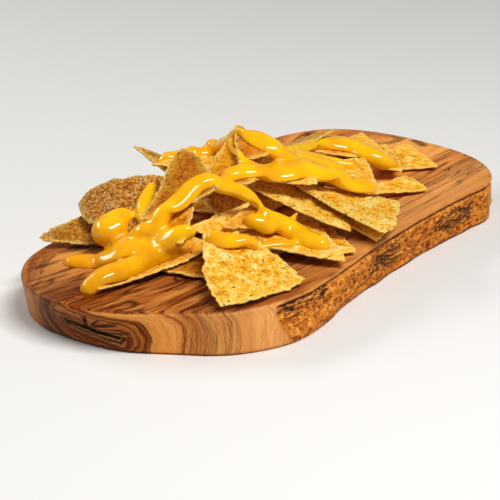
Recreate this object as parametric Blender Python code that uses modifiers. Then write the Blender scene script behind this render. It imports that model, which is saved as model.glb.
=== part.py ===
"""Nachos: tortilla chips heaped on an olive-wood board, with cheese sauce poured over them.

The frame has its origin on the underside, at the middle of the board.
X runs along the board, Y across it and Z up. The bark edge of the board faces -Y.
Lengths are in metres and angles in degrees.
"""
import math

import bmesh
import bpy
import numpy as np
from mathutils import Matrix, Vector, noise

# Board
BOARD_THICKNESS = 0.021
BOARD_OUTLINE = [            # the top edge, anticlockwise from the sawn end
    (-0.140, 0.004), (-0.135, -0.015), (-0.121, -0.034), (-0.108, -0.052), (-0.091, -0.062),
    (-0.068, -0.067), (-0.040, -0.066), (0.000, -0.062), (0.045, -0.060), (0.086, -0.061),
    (0.107, -0.061), (0.123, -0.050), (0.135, -0.030), (0.140, 0.000), (0.138, 0.030),
    (0.125, 0.053), (0.096, 0.065), (0.050, 0.064), (0.000, 0.061), (-0.050, 0.062),
    (-0.092, 0.061), (-0.115, 0.0535), (-0.131, 0.039), (-0.1385, 0.022),
]
BOARD_POINTS = 96
TOP_ROUND = 0.0018
BOTTOM_ROUND = 0.0014
SIDE_LEAN = 0.001            # the whole side leans in a little towards the bottom
END_UNDERCUT = 0.009         # the sawn end leans in more
END_MIDDLE = (-0.139, 0.010)
END_SPREAD = 0.038
BARK_FLARE = 0.005           # the bark side stands out at the bottom, next to the sawn end
FLARE_MIDDLE = (-0.072, -0.066)
FLARE_SPREAD = 0.028
BARK_START = -0.080
BARK_END = 0.112
BARK_SLANT = 0.006
BARK_START_FADE = 0.004      # lengths over which the bark's relief comes in and dies out
BARK_END_FADE = 0.008
BARK_INNER = 0.040           # the bark is on the part of the outline further than this from the middle
BARK_OUTER = 0.050
BARK_RELIEF = 0.0016
BARK_RIDGES_ALONG = 70       # how close together the ridges are, along the board and up its side
BARK_RIDGES_UP = 330
BARK_GROOVE = 0.0012         # how deep it cuts into the side
BARK_GROOVE_DEPTH = 0.0036   # how far it lies below the top face
BARK_GROOVE_WIDTH = 0.0014
SIDE_HEIGHTS = (0.0050, 0.0085, 0.0120, 0.0150)

# Chips
CHIP_THICKNESS = 0.0019
CHIP_CUTS = 6
CORNER_ROUND = 0.12          # how far the corners are drawn in, as a share of the chip's size
CHIP_UNEVEN = 0.035          # how uneven its outline is, as the same share
CHIP_RIPPLE = 0.0008         # how far its face rises and dips
RIPPLES = 60                 # how close together its ripples are
CHIP_SEED = 7.3              # from one chip's unevenness to the next one's
HELD_AT = 0.3                # the height that a chip is lowered from
LAY_GAP = 0.0005             # upright gap between a chip and what it lies on

# Sauce
SAUCE_STEP = 0.0048          # from one section of a run of sauce to the next
SAUCE_LANES = (-1.0, -0.6, 0.0, 0.6, 1.0)        # the places across a section, from side to side
SAUCE_EDGE = 0.0008          # how thick its sides are
SAUCE_BLUNT = 0.0012         # how blunt its ends are
SAUCE_GAP = 0.0005           # upright gap between the sauce and what it lies on
SAUCE_REACH = 0.0016         # it clears whatever is this close to each place in a section
SAUCE_LOOKS = (-0.5, -0.25, 0, 0.25, 0.5)        # and at these parts of a step before and after it
SAUCE_SLOPE = 2.0            # its steepest slope, as a rise over its length
SAUCE_SAG = 0.003            # how far its sides may hang below its middle
SAUCE_SMOOTHINGS = 2

# Each chip: name, x and y of its middle, the way its slope faces, how steep it is, the way its tip
# points, its length from tip to back, its width, and its curl along and across.
CHIPS = [
    ("chip_base_left", -0.045, 0.026, 150, 2, -60, 0.044, 0.050, 8, 0),
    ("chip_base_middle", 0.008, 0.014, 0, 2, 100, 0.046, 0.050, 0, 8),
    ("chip_base_right", 0.046, 0.016, 0, 2, -30, 0.046, 0.050, 6, 0),
    ("chip_base_back", -0.008, 0.042, 90, 4, 160, 0.046, 0.050, 6, 0),
    ("chip_shadowed", -0.076, -0.010, -160, 4, -105, 0.042, 0.038, 6, 0),
    ("chip_far_left", -0.075, 0.049, -115, 11, 150, 0.041, 0.035, 6, 10),
    ("chip_low_left", -0.084, 0.003, -135, 11, 180, 0.068, 0.039, 10, 6),
    ("chip_under_right", -0.020, -0.040, -105, 4, -90, 0.039, 0.049, 6, 0),
    ("chip_tucked", 0.011, -0.045, -75, 15, -125, 0.038, 0.049, 6, 0),
    ("chip_end", 0.101, -0.014, -95, 4, -85, 0.032, 0.045, 6, 0),
    ("chip_broken", 0.061, -0.033, -80, 6, 160, 0.046, 0.020, 6, 0),
    ("chip_front_right", -0.031, -0.038, -75, 7, -100, 0.052, 0.055, 6, 0),
    ("chip_second_left", -0.022, 0.022, 0, 3, 20, 0.046, 0.050, 6, 0),
    ("chip_second_middle", 0.022, 0.026, 90, 3, -110, 0.046, 0.050, 6, 0),
    ("chip_inner", -0.050, -0.011, -130, 21, 0, 0.034, 0.023, 6, 0),
    ("chip_long", -0.006, -0.025, -75, 19, -100, 0.055, 0.051, 6, 0),
    ("chip_bright", 0.008, -0.046, -60, 16, 115, 0.056, 0.052, 6, 0),
    ("chip_hollow", -0.025, 0.004, -155, 10, 100, 0.026, 0.038, 20, 20),
    ("chip_slim", -0.042, -0.020, -130, 27, 155, 0.024, 0.019, 6, 14),
    ("chip_arched", -0.065, 0.032, -175, 28, -145, 0.047, 0.057, 6, -85),
    ("chip_rimmed", -0.070, 0.002, 175, 31, 115, 0.027, 0.045, 10, 30),
    ("chip_front", -0.081, -0.045, -105, 20, -165, 0.049, 0.054, 6, -8),
    ("chip_back_right", 0.081, -0.007, -60, 10, -100, 0.035, 0.052, 6, 0),
    ("chip_back_top", 0.077, 0.000, -55, 7, -90, 0.035, 0.051, 6, 0),
    ("chip_sauced_right", 0.029, -0.024, -65, 15, -100, 0.039, 0.062, 6, 0),
    ("chip_back_left", -0.011, 0.043, -30, 28, 125, 0.040, 0.036, 6, 6),
    ("chip_stray", 0.050, 0.020, 80, 28, -40, 0.040, 0.040, 6, 0),
    ("chip_ridge", -0.010, 0.028, 60, 6, 20, 0.046, 0.050, 6, 0),
    ("chip_sauced", -0.008, -0.010, -120, 10, 150, 0.037, 0.049, 6, 0),
    ("chip_face", -0.030, 0.001, -170, 14, 30, 0.045, 0.030, 6, 0),
    ("chip_tall", -0.061, 0.004, -170, 34, 160, 0.040, 0.032, 20, 40),
    ("chip_peak", -0.015, -0.002, -145, 28, 65, 0.025, 0.025, 10, 30),
]

# Each run of sauce: name, thickness, and x, y and width along its middle.
SAUCE = [
    ("sauce_tongue", 0.004, [(-0.095, 0.023, 0.008), (-0.100, 0.029, 0.009), (-0.103, 0.037, 0.008)]),
    ("sauce_streak", 0.0045, [
        (-0.089, -0.006, 0.006), (-0.097, 0.000, 0.008), (-0.106, 0.004, 0.009), (-0.117, 0.005, 0.008),
        (-0.127, 0.007, 0.007)]),
    ("sauce_left_blob", 0.004, [
        (-0.085, -0.011, 0.008), (-0.083, 0.000, 0.011), (-0.092, 0.005, 0.012), (-0.102, 0.009, 0.010)]),
    ("sauce_drop", 0.007, [(-0.081, 0.034, 0.009), (-0.085, 0.025, 0.012), (-0.086, 0.021, 0.009)]),
    ("sauce_rim_drip", 0.0025, [
        (-0.066, 0.011, 0.004), (-0.071, 0.011, 0.005), (-0.077, 0.009, 0.005), (-0.079, 0.008, 0.004)]),
    ("sauce_front", 0.0035, [(-0.075, -0.024, 0.006), (-0.072, -0.030, 0.008), (-0.070, -0.036, 0.006)]),
    ("sauce_smear", 0.002, [(-0.050, -0.032, 0.004), (-0.049, -0.038, 0.005), (-0.047, -0.044, 0.004)]),
    ("sauce_lobe", 0.004, [(-0.047, -0.026, 0.006), (-0.043, -0.028, 0.007), (-0.042, -0.032, 0.006)]),
    ("sauce_right_blob", 0.005, [
        (-0.029, -0.026, 0.010), (-0.029, -0.032, 0.012), (-0.033, -0.041, 0.011), (-0.037, -0.050, 0.009),
        (-0.036, -0.055, 0.007)]),
    ("sauce_back", 0.003, [
        (0.050, 0.000, 0.008), (0.057, -0.002, 0.010), (0.067, -0.003, 0.011), (0.072, -0.010, 0.011),
        (0.072, -0.016, 0.010), (0.072, -0.021, 0.008)]),
    ("sauce_back_low", 0.003, [(0.011, -0.018, 0.009), (0.013, -0.024, 0.009), (0.018, -0.028, 0.008)]),
    ("sauce_ridge", 0.0035, [
        (-0.026, 0.042, 0.007), (-0.019, 0.038, 0.009), (-0.012, 0.032, 0.009), (-0.003, 0.028, 0.009),
        (0.002, 0.025, 0.008)]),
    ("sauce_right_branch", 0.0025, [
        (-0.039, -0.006, 0.005), (-0.039, -0.012, 0.006), (-0.038, -0.018, 0.005), (-0.036, -0.022, 0.004),
        (-0.042, -0.028, 0.003), (-0.044, -0.031, 0.003)]),
    ("sauce_left_stream", 0.0035, [
        (-0.040, -0.006, 0.007), (-0.050, -0.006, 0.008), (-0.055, -0.003, 0.009), (-0.066, -0.001, 0.009),
        (-0.076, 0.000, 0.009), (-0.084, 0.002, 0.009), (-0.087, 0.007, 0.008)]),
    ("sauce_main", 0.005, [
        (-0.029, -0.007, 0.009), (-0.026, -0.012, 0.011), (-0.020, -0.018, 0.012), (-0.013, -0.023, 0.013),
        (-0.006, -0.026, 0.013), (0.001, -0.027, 0.013), (0.009, -0.030, 0.013), (0.014, -0.037, 0.012),
        (0.018, -0.045, 0.010)]),
    ("sauce_peak", 0.0025, [
        (-0.022, -0.002, 0.005), (-0.020, -0.007, 0.006), (-0.019, -0.013, 0.006), (-0.019, -0.020, 0.006)]),
    ("sauce_strand", 0.0025, [
        (-0.026, -0.001, 0.004), (-0.030, -0.004, 0.005), (-0.033, -0.009, 0.005), (-0.034, -0.014, 0.005)]),
]


# ---------------------------------------------------------------- curves and sections

def between(before, start, end, after, t):
    """A point on the smooth curve from start to end, which keeps in line with its neighbours."""
    return 0.5 * (2 * start + (end - before) * t
                  + (2 * before - 5 * start + 4 * end - after) * t ** 2
                  + (3 * start - before - 3 * end + after) * t ** 3)


def evenly(points, count):
    """The same line with its points the same distance apart."""
    steps = np.linalg.norm(np.diff(points[:, :2], axis=0), axis=1)
    reach = np.concatenate([[0], np.cumsum(steps)])
    wanted = np.linspace(0, reach[-1], count)
    return np.stack([np.interp(wanted, reach, points[:, k]) for k in range(points.shape[1])], axis=1)


def smooth_curve(points, count, closed=False):
    """Evenly spaced points on a smooth curve through the given ones."""
    points = np.array(points, float)
    if closed:
        padded = np.concatenate([points[-1:], points, points[:2]])
    else:
        padded = np.concatenate([points[:1], points, points[-1:]])
    fine = [between(*padded[i:i + 4], t) for i in range(len(padded) - 3) for t in np.arange(0, 1, 0.05)]
    fine.append(padded[-2])
    if closed:
        return evenly(np.array(fine), count + 1)[:-1]
    return evenly(np.array(fine), count)


def loft(name, rings):
    """A closed body through rings of points, capped at both ends."""
    shape = bmesh.new()
    rows = [[shape.verts.new(point) for point in ring] for ring in rings]
    for lower, upper in zip(rows, rows[1:]):
        for i in range(len(lower)):
            j = (i + 1) % len(lower)
            shape.faces.new((lower[i], lower[j], upper[j], upper[i]))
    shape.faces.new(rows[0])
    shape.faces.new(rows[-1])
    bmesh.ops.recalc_face_normals(shape, faces=shape.faces[:])
    mesh = bpy.data.meshes.new(name)
    shape.to_mesh(mesh)
    shape.free()
    return mesh


def ease(low, high, value):
    """0 below low and 1 above high, with a smooth change between them."""
    t = min(max((value - low) / (high - low), 0), 1)
    return t * t * (3 - 2 * t)


# ---------------------------------------------------------------- parts and their materials

OLIVE_WOOD = {"colour": (0.45, 0.22, 0.08), "roughness": 0.45}
TORTILLA = {"colour": (0.80, 0.50, 0.14), "roughness": 0.7}
CHEESE_SAUCE = {"colour": (0.95, 0.62, 0.05), "roughness": 0.25}


def finish(name, colour, roughness):
    material = bpy.data.materials.new(name)
    material.use_nodes = True
    shader = material.node_tree.nodes["Principled BSDF"]
    shader.inputs["Base Color"].default_value = (*colour, 1)
    shader.inputs["Roughness"].default_value = roughness
    shader.inputs["Metallic"].default_value = 0
    material.diffuse_color = (*colour, 1)
    return material


def add_part(name, mesh, look):
    """A new object in the dish's collection, with a material of its own."""
    part = bpy.data.objects.new(name, mesh)
    mesh.materials.append(finish(name, **look))
    parts.objects.link(part)
    return part


# ---------------------------------------------------------------- board

def side_offset(x, y, height):
    """How far the side stands out from the top edge, at a height above the underside."""
    down = 1 - height / BOARD_THICKNESS
    end = math.exp(-math.dist((x, y), END_MIDDLE) ** 2 / END_SPREAD ** 2)
    flare = math.exp(-math.dist((x, y), FLARE_MIDDLE) ** 2 / FLARE_SPREAD ** 2)
    offset = down * (BARK_FLARE * flare - END_UNDERCUT * end - SIDE_LEAN)
    start = BARK_START + BARK_SLANT * down
    on_bark = (ease(start, start + BARK_START_FADE, x) * (1 - ease(BARK_END, BARK_END + BARK_END_FADE, x))
               * ease(BARK_INNER, BARK_OUTER, -y))
    below_top = BOARD_THICKNESS - height
    groove = math.exp(-((below_top - BARK_GROOVE_DEPTH) / BARK_GROOVE_WIDTH) ** 2)
    ridges = noise.noise(Vector((x * BARK_RIDGES_ALONG, height * BARK_RIDGES_UP, 3.1)))
    ridges *= ease(TOP_ROUND / 2, BARK_GROOVE_DEPTH, below_top)
    return offset + on_bark * (BARK_RELIEF * ridges - BARK_GROOVE * groove)


def make_board():
    outline = smooth_curve(BOARD_OUTLINE, BOARD_POINTS, closed=True)
    ahead = np.roll(outline, -1, axis=0) - np.roll(outline, 1, axis=0)
    outward = np.stack([ahead[:, 1], -ahead[:, 0]], axis=1)
    outward /= np.linalg.norm(outward, axis=1, keepdims=True)
    top = BOARD_THICKNESS
    sections = [(0, BOTTOM_ROUND), (BOTTOM_ROUND, 0)]        # height and how far it is drawn in
    sections += [(height, 0) for height in (*SIDE_HEIGHTS, top - BARK_GROOVE_DEPTH, top - TOP_ROUND)]
    sections += [(top - 0.3 * TOP_ROUND, 0.3 * TOP_ROUND), (top, TOP_ROUND)]
    rings = []
    for height, inset in sections:
        ring = []
        for (x, y), (nx, ny) in zip(outline, outward):
            out = side_offset(x, y, height) - inset
            ring.append((x + nx * out, y + ny * out, height))
        rings.append(ring)
    board = add_part("board", loft("board", rings), OLIVE_WOOD)
    board.data.shade_smooth()
    board.data.set_sharp_from_angle(angle=math.radians(50))
    return board


# ---------------------------------------------------------------- the heap as it grows

class Heap:
    """The highest point so far above each small square of the board."""

    SQUARE = 0.0005
    HALF = (0.17, 0.11)

    def __init__(self, level):
        cells = [round(2 * half / self.SQUARE) for half in self.HALF]
        self.tops = np.full(cells, level)

    def squares(self, points):
        column = ((points[:, 0] + self.HALF[0]) / self.SQUARE).astype(int)
        row = ((points[:, 1] + self.HALF[1]) / self.SQUARE).astype(int)
        return column, row

    def room(self, points):
        """The least upright distance from the heap up to the points."""
        return float(np.min(points[:, 2] - self.tops[self.squares(points)]))

    def add(self, points):
        np.maximum.at(self.tops, self.squares(points), points[:, 2])

    def highest(self, x, y, radius):
        column, row = self.squares(np.array([(x, y)]))
        reach = round(radius / self.SQUARE)
        return float(self.tops[column[0] - reach:column[0] + reach + 1,
                               row[0] - reach:row[0] + reach + 1].max())


def surface_points(part, spacing=0.0004):
    """Points all over a part's surface, closer together than the heap's squares."""
    bpy.context.view_layer.update()
    solid = part.evaluated_get(bpy.context.evaluated_depsgraph_get())
    mesh = solid.to_mesh()
    mesh.calc_loop_triangles()
    corners = np.array([vertex.co for vertex in mesh.vertices])
    turn = np.array(part.matrix_world)
    corners = corners @ turn[:3, :3].T + turn[:3, 3]
    faces = np.array([triangle.vertices for triangle in mesh.loop_triangles])
    solid.to_mesh_clear()
    a, b, c = (corners[faces[:, k]] for k in range(3))
    longest = max(np.linalg.norm(b - a, axis=1).max(), np.linalg.norm(c - a, axis=1).max())
    count = math.ceil(longest / spacing)
    u, v = np.meshgrid(np.linspace(0, 1, count + 1), np.linspace(0, 1, count + 1))
    inside = u + v <= 1 + 1e-9
    u, v = u[inside][:, None, None], v[inside][:, None, None]
    return (a + u * (b - a) + v * (c - a)).reshape(-1, 3)


# ---------------------------------------------------------------- chips

def curled(across, degrees, span):
    """Where a point at a distance across a flat sheet goes, once the sheet is rolled."""
    if degrees == 0:
        return across, 0
    bend = math.radians(degrees) / span
    return math.sin(bend * across) / bend, (1 - math.cos(bend * across)) / bend


def chip_sheet(name, length, width, curl_along, curl_across, seed):
    """An open triangular sheet with its tip towards +X, rounded corners and a curl."""
    sheet = bmesh.new()
    bmesh.ops.create_circle(sheet, cap_ends=True, segments=3, radius=1,
                            matrix=Matrix.Rotation(math.radians(-90), 4, "Z"))
    bmesh.ops.subdivide_edges(sheet, edges=sheet.edges[:], cuts=CHIP_CUTS, use_grid_fill=True)
    bmesh.ops.triangulate(sheet, faces=sheet.faces[:])
    for vertex in sheet.verts:
        u, v, _ = vertex.co
        out = math.hypot(u, v)
        size = 1 - CORNER_ROUND * out ** 4 + CHIP_UNEVEN * noise.noise(Vector((u * 2, v * 2, seed)))
        x = u * size * length / 1.5
        y = v * size * width / math.sqrt(3)
        ripple = CHIP_RIPPLE * noise.noise(Vector((x * RIPPLES, y * RIPPLES, seed + 0.5)))
        x, lift_along = curled(x, curl_along, length)
        y, lift_across = curled(y, curl_across, width)
        vertex.co = (x, y, lift_along + lift_across + ripple)
    mesh = bpy.data.meshes.new(name)
    sheet.to_mesh(mesh)
    sheet.free()
    return mesh


def lay_chip(heap, row, seed):
    """Tilt and turn a chip, then lower it until it meets the heap."""
    name, x, y, faces, slope, tip, length, width, curl_along, curl_across = row
    mesh = chip_sheet(name, length, width, curl_along, curl_across, seed)
    chip = add_part(name, mesh, TORTILLA)
    solid = chip.modifiers.new("thickness", "SOLIDIFY")
    solid.thickness = CHIP_THICKNESS
    solid.offset = 0
    chip.rotation_mode = "QUATERNION"
    chip.rotation_quaternion = (Matrix.Rotation(math.radians(faces), 3, "Z")
                                @ Matrix.Rotation(math.radians(slope), 3, "Y")
                                @ Matrix.Rotation(math.radians(tip - faces), 3, "Z")).to_quaternion()
    chip.location = (x, y, HELD_AT)
    points = surface_points(chip)
    drop = heap.room(points) - LAY_GAP
    chip.location.z -= drop
    heap.add(points - [0, 0, drop])
    mesh.shade_smooth()
    return chip


# ---------------------------------------------------------------- sauce

def pour(heap, name, thickness, path):
    """A rope of sauce that runs over the heap, bridges its gaps and hangs over its edges."""
    path = np.array(path, float)
    length = np.linalg.norm(np.diff(path[:, :2], axis=0), axis=1).sum()
    count = max(4, round(length / SAUCE_STEP) + 1)
    middle = smooth_curve(path, count)
    ahead = np.gradient(middle[:, :2], axis=0)
    ahead /= np.linalg.norm(ahead, axis=1, keepdims=True)
    side = np.stack([-ahead[:, 1], ahead[:, 0]], axis=1)
    along = np.linspace(0, length, count)
    from_end = np.minimum(along, length - along) + SAUCE_BLUNT
    taper = np.sqrt(1 - (1 - np.minimum(from_end / (0.5 * middle[:, 2]), 1)) ** 2)
    lanes = np.array(SAUCE_LANES)
    spots = (middle[:, None, :2]
             + side[:, None] * (0.5 * middle[:, 2] * taper)[:, None, None] * lanes[None, :, None])
    floor = np.max([[[heap.highest(x, y, SAUCE_REACH) for x, y in row]
                     for row in spots + ahead[:, None] * (shift * SAUCE_STEP)]
                    for shift in SAUCE_LOOKS], axis=0)
    apart = np.abs(along[:, None] - along[None, :])
    floor = (floor[None] - SAUCE_SLOPE * apart[:, :, None]).max(axis=1)
    centre = floor[:, len(lanes) // 2]
    floor = np.maximum(floor, centre[:, None] - SAUCE_SAG * np.abs(lanes)[None])
    under = floor + SAUCE_GAP
    soft = under.copy()
    for _ in range(SAUCE_SMOOTHINGS):
        padded = np.pad(soft, 1, mode="edge")
        soft = (2 * soft + padded[:-2, 1:-1] + padded[2:, 1:-1]
                + padded[1:-1, :-2] + padded[1:-1, 2:]) / 6
    dome = np.sqrt(np.clip(1 - lanes ** 2, 0, 1))[None] * taper[:, None]
    over = np.maximum(soft, under) + SAUCE_EDGE + thickness * dome
    rings = []
    for row, low, high in zip(spots, under, over):
        ring = [(x, y, z) for (x, y), z in zip(row, high)]
        ring += [(x, y, z) for (x, y), z in zip(row[::-1], low[::-1])]
        rings.append(ring)
    rope = add_part(name, loft(name, rings), CHEESE_SAUCE)
    points = surface_points(rope)
    lift = max(0.0, SAUCE_GAP - heap.room(points))
    rope.location.z = lift
    heap.add(points + [0, 0, lift])
    rope.data.shade_smooth()
    return rope


# ---------------------------------------------------------------- the dish

for old in list(bpy.data.objects):
    bpy.data.objects.remove(old, do_unlink=True)
parts = bpy.data.collections.new("nachos")
bpy.context.scene.collection.children.link(parts)

make_board()
pile = Heap(BOARD_THICKNESS)
for number, chip_row in enumerate(CHIPS):
    lay_chip(pile, chip_row, CHIP_SEED * number)
for sauce_name, sauce_thickness, sauce_path in SAUCE:
    pour(pile, sauce_name, sauce_thickness, sauce_path)
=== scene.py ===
"""The looks of the nachos: an olive-wood board, a heap of tortilla chips and melted cheese sauce."""
import math
from collections import Counter

import bmesh
import bpy
import numpy as np
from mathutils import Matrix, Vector, noise
from mathutils.bvhtree import BVHTree


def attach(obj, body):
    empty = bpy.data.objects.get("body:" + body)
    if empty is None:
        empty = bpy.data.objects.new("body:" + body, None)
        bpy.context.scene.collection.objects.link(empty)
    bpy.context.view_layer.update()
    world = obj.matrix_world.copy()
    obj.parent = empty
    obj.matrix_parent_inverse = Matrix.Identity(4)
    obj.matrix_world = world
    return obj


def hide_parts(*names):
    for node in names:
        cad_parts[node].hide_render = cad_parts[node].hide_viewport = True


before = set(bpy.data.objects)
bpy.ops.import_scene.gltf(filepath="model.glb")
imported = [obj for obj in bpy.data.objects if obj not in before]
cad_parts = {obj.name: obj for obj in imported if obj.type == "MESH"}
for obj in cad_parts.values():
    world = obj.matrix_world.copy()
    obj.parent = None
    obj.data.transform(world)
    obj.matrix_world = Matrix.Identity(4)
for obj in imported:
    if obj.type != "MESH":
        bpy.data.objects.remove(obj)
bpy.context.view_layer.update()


# ---------------------------------------------------------------- the board
# The board is one slab of olive wood with a sanded, oiled top. One long side keeps the rough edge
# that was under the bark, and the rest of the rim is sawn smooth, through a knot at the left end.

class Shade:
    """A value inside a material. Arithmetic on it adds Math nodes, and node() adds any other node."""

    def __init__(self, tree, socket=None):
        self.tree = tree
        self.socket = socket

    def node(self, kind, settings=None, sockets=None, out=0):
        """A new node of this kind: its settings are made first, then its sockets' values or links."""
        new = self.tree.nodes.new("ShaderNode" + kind)
        for name, value in (settings or {}).items():
            if name == "stops":
                ramp = new.color_ramp.elements
                while len(ramp) < len(value):
                    ramp.new(0.5)
                for element, (position, tint) in zip(ramp, value):
                    element.position = position
                    element.color = tint
            else:
                setattr(new, name, value)
        for name, value in (sockets or {}).items():
            if isinstance(value, Shade):
                self.tree.links.new(value.socket, new.inputs[name])
            else:
                new.inputs[name].default_value = value
        return Shade(self.tree, new.outputs[out])

    def maths(self, operation, *values):
        return self.node("Math", {"operation": operation}, dict(enumerate(values)))

    def __add__(self, other):
        return self.maths("ADD", self, other)

    def __sub__(self, other):
        return self.maths("SUBTRACT", self, other)

    def __rsub__(self, other):
        return self.maths("SUBTRACT", other, self)

    def __mul__(self, other):
        return self.maths("MULTIPLY", self, other)

    def __truediv__(self, other):
        return self.maths("DIVIDE", self, other)

    def __pow__(self, other):
        return self.maths("POWER", self, other)

    def __abs__(self):
        return self.maths("ABSOLUTE", self)

    def at_least(self, other):
        return self.maths("MAXIMUM", self, other)

    def at_most(self, other):
        return self.maths("MINIMUM", self, other)

    def exponential(self):
        return self.maths("EXPONENT", self)

    __radd__ = __add__
    __rmul__ = __mul__

    def eased(self, low, high):
        """0 at low and 1 at high, with a smooth change between them."""
        return self.node("MapRange", {"interpolation_type": "SMOOTHSTEP"},
                         {"Value": self, "From Min": low, "From Max": high})

    def blend(self, first, second):
        """The first colour where this is 0 and the second where it is 1."""
        return self.node("Mix", {"data_type": "RGBA"}, {0: self, 6: first, 7: second}, out=2)

    def colours(self, *stops):
        """A ramp of colours, each stop a value and the colour there."""
        return self.node("ValToRGB", {"stops": stops}, {"Fac": self})

    def noise(self, size, detail=2.0, stretch=(1, 1, 1), shift=0.0, roughness=0.5):
        """Soft random values from 0 to 1 on a place in metres, with lumps of the given size."""
        scaled = self.node("Mapping", {}, {"Vector": self, "Location": (shift, shift, shift),
                                           "Scale": tuple(1 / (size * part) for part in stretch)})
        return self.node("TexNoise", {}, {"Vector": scaled, "Scale": 1.0, "Detail": detail,
                                          "Roughness": roughness})

    def attribute(self, name):
        """The values that a mesh keeps at its points under this name."""
        return self.node("Attribute", {"attribute_name": name}, out="Fac")

    def with_axes(self, y, z=0.0):
        """This value as the X of a place, with the given Y and Z."""
        return self.node("CombineXYZ", {}, {0: self, 1: y, 2: z})

    def angle_over(self, run):
        return self.maths("ARCTAN2", self, run)

    def parts(self):
        """The X, Y and Z of a place."""
        return [self.node("SeparateXYZ", {}, {"Vector": self}, out=axis) for axis in range(3)]

    def far_from(self, start, end):
        """How far this place is from the straight line between two points."""
        run = Vector(end) - Vector(start)
        arm = self.node("VectorMath", {"operation": "SUBTRACT"}, {0: self, 1: start})
        part = self.node("VectorMath", {"operation": "DOT_PRODUCT"},
                         {0: arm, 1: run / run.length_squared}, out=1)
        share = self.node("Clamp", {}, {"Value": part})
        foot = self.node("VectorMath", {"operation": "SCALE"}, {0: run, "Scale": share})
        return self.node("VectorMath", {"operation": "DISTANCE"}, {0: arm, 1: foot}, out=1)


def colour(red, green, blue):
    """A screen colour from 0 to 255, as the shader's own light values."""
    screen = [value / 255 for value in (red, green, blue)]
    light = [value / 12.92 if value < 0.04045 else ((value + 0.055) / 1.055) ** 2.4 for value in screen]
    return (*light, 1)


def new_material(name, **finish):
    """A Principled material with plain values, its shader, and a place in metres to draw from."""
    material = bpy.data.materials.new(name)
    material.use_nodes = True
    shader = material.node_tree.nodes["Principled BSDF"]
    for socket, value in finish.items():
        shader.inputs[socket.replace("_", " ")].default_value = value
    return material, shader, Shade(material.node_tree).node("TexCoord", out="Object")


def connect(shader, **sockets):
    """Links values to the shader's sockets, which are named with _ for a space."""
    for socket, value in sockets.items():
        value.tree.links.new(value.socket, shader.inputs[socket.replace("_", " ")])


def add_piece(name, mesh, material, slot, *nodes):
    """Shows a mesh in place of CAD nodes, on the one body that the dish is."""
    piece = bpy.data.objects.new(name, mesh)
    bpy.context.scene.collection.objects.link(piece)
    mesh.materials.clear()
    mesh.materials.append(material)
    mesh.shade_smooth()
    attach(piece, "root")
    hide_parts(*nodes)


def set_values(mesh, name, values):
    """One number for each point of a mesh, for its material to read."""
    mesh.attributes.new(name, "FLOAT", "POINT").data.foreach_set("value", np.asarray(values, "f"))


# The board's rim: points round it, the height of a row, and how softly its corners run out. Of the
# solid's levels, the third from the top is where the sawn side ends and the rounded edge starts.
BOARD_COLUMNS = 1250
BOARD_ROW = 0.0006
BOARD_SOFTENING = 30
SAWN_LEVEL = -3
TOP_INSET = (0.99, 0.985, 1)

# The bark runs along the -Y side, between two X. Its left end slants and is rounded at the top, and
# a groove lies under the lip of plain wood at its upper edge.
BARK_START = -0.0875
BARK_END = 0.103
BARK_SLANT = 0.009
BARK_ROUND = 0.005
BARK_LIP = 0.0022
BARK_RISE = 0.0014
BARK_FOOT = 0.005
GROOVE_BELOW_LIP = 0.0008
GROOVE_WIDTH = 0.0007
GROOVE_DEPTH = 0.0011

# Cracks in the knot and charred patches of the bark, each from one place to another.
CRACKS = [((-0.1356, 0.0096, 0.0115), (-0.1345, 0.0001, 0.0101)),
          ((-0.1345, 0.0001, 0.0101), (-0.1319, -0.0107, 0.0082)),
          ((-0.1319, -0.0107, 0.0082), (-0.1296, -0.0165, 0.0068)),
          ((-0.1374, -0.0001, 0.0164), (-0.1349, 0.0008, 0.0107))]
CRACK_DEPTH = 0.0014
CRACK_WIDTH = 0.0006
CHARRED = [((-0.0800, -0.0655, 0.0180), (-0.0530, -0.0655, 0.0165)),
           ((-0.0050, -0.0618, 0.0100), (0.0206, -0.0606, 0.0120)),
           ((0.0600, -0.0592, 0.0100), (0.0860, -0.0605, 0.0120))]


def ease(low, high, value):
    """0 up to low and 1 from high on, with a smooth change between them."""
    share = np.clip((value - low) / (high - low), 0, 1)
    return share * share * (3 - 2 * share)


def line_distance(points, start, end):
    """How far each point is from the straight line between two places."""
    start, end = np.array(start), np.array(end)
    run = end - start
    share = np.clip((points - start) @ run / (run @ run), 0, 1)
    return np.linalg.norm(points - start - share[..., None] * run, axis=-1)


def board_levels():
    """The CAD board's rim: its heights, its points' angles, and how far out each point lies."""
    corners = np.array([vertex.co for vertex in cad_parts["board"].data.vertices])
    corners = np.unique(np.round(corners, 6), axis=0)
    heights = np.round(corners[:, 2], 5)
    levels = np.unique(heights)
    rings = []
    for level in levels:
        ring = corners[heights == level]
        angles = np.arctan2(ring[:, 1], ring[:, 0])
        order = np.argsort(angles)
        rings.append((angles[order], np.hypot(ring[order, 0], ring[order, 1])))

    # A level with fewer points lies between its neighbours, and is moved only where it has points.
    columns = rings[SAWN_LEVEL][0]
    reach = np.zeros((len(levels), len(columns)))
    whole = [index for index, (angles, _) in enumerate(rings) if len(angles) == len(columns)]
    for index in whole:
        reach[index] = np.interp(columns, *rings[index], period=2 * math.pi)
    for index in set(range(len(levels))) - set(whole):
        under = max(other for other in whole if other < index)
        over = min(other for other in whole if other > index)
        share = (levels[index] - levels[under]) / (levels[over] - levels[under])
        plain = reach[under] * (1 - share) + reach[over] * share
        offset = np.zeros(len(columns))
        for angle, radius in zip(*rings[index]):
            nearest = np.argmin(np.abs(np.angle(np.exp(1j * (columns - angle)))))
            offset[nearest] = radius - np.interp(angle, columns, plain, period=2 * math.pi)
        reach[index] = plain + offset
    return levels, columns, reach


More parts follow.
